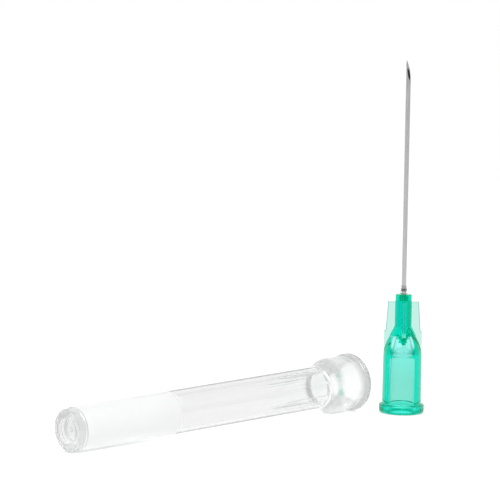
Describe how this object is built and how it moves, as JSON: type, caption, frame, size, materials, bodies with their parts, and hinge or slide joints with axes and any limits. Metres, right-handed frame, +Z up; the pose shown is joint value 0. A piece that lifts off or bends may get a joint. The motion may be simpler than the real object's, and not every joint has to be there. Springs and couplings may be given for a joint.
{
  "type": "hypodermic needle",
  "caption": "Hypodermic needle with a bevel-ground steel tube in a green see-through hub, standing on the hub with its clear protective cap lying beside it.",
  "frame": {"origin": "middle of the footprint of the needle and its cap together, on the surface they stand on", "axes": "+Z up along the needle's tube, from the hub to the point; the cap lies along X with its closed end at -X and its mouth towards the needle; the tube's bevel faces -Y"},
  "size_m": [0.07, 0.0156, 0.0604],
  "materials": {
    "hub_green": "green see-through moulded plastic, glossy",
    "tube_steel": "drawn stainless steel, satin",
    "clear_glue": "clear cured glue, glossy",
    "clear_plastic": "clear moulded plastic, glossy, with a frosted band on the barrel"
  },
  "bodies": {
    "root": {"hub": "hub_green", "cannula": "tube_steel", "adhesive_bead": "clear_glue", "needle_cap": "clear_plastic"}
  },
  "joints": []
}
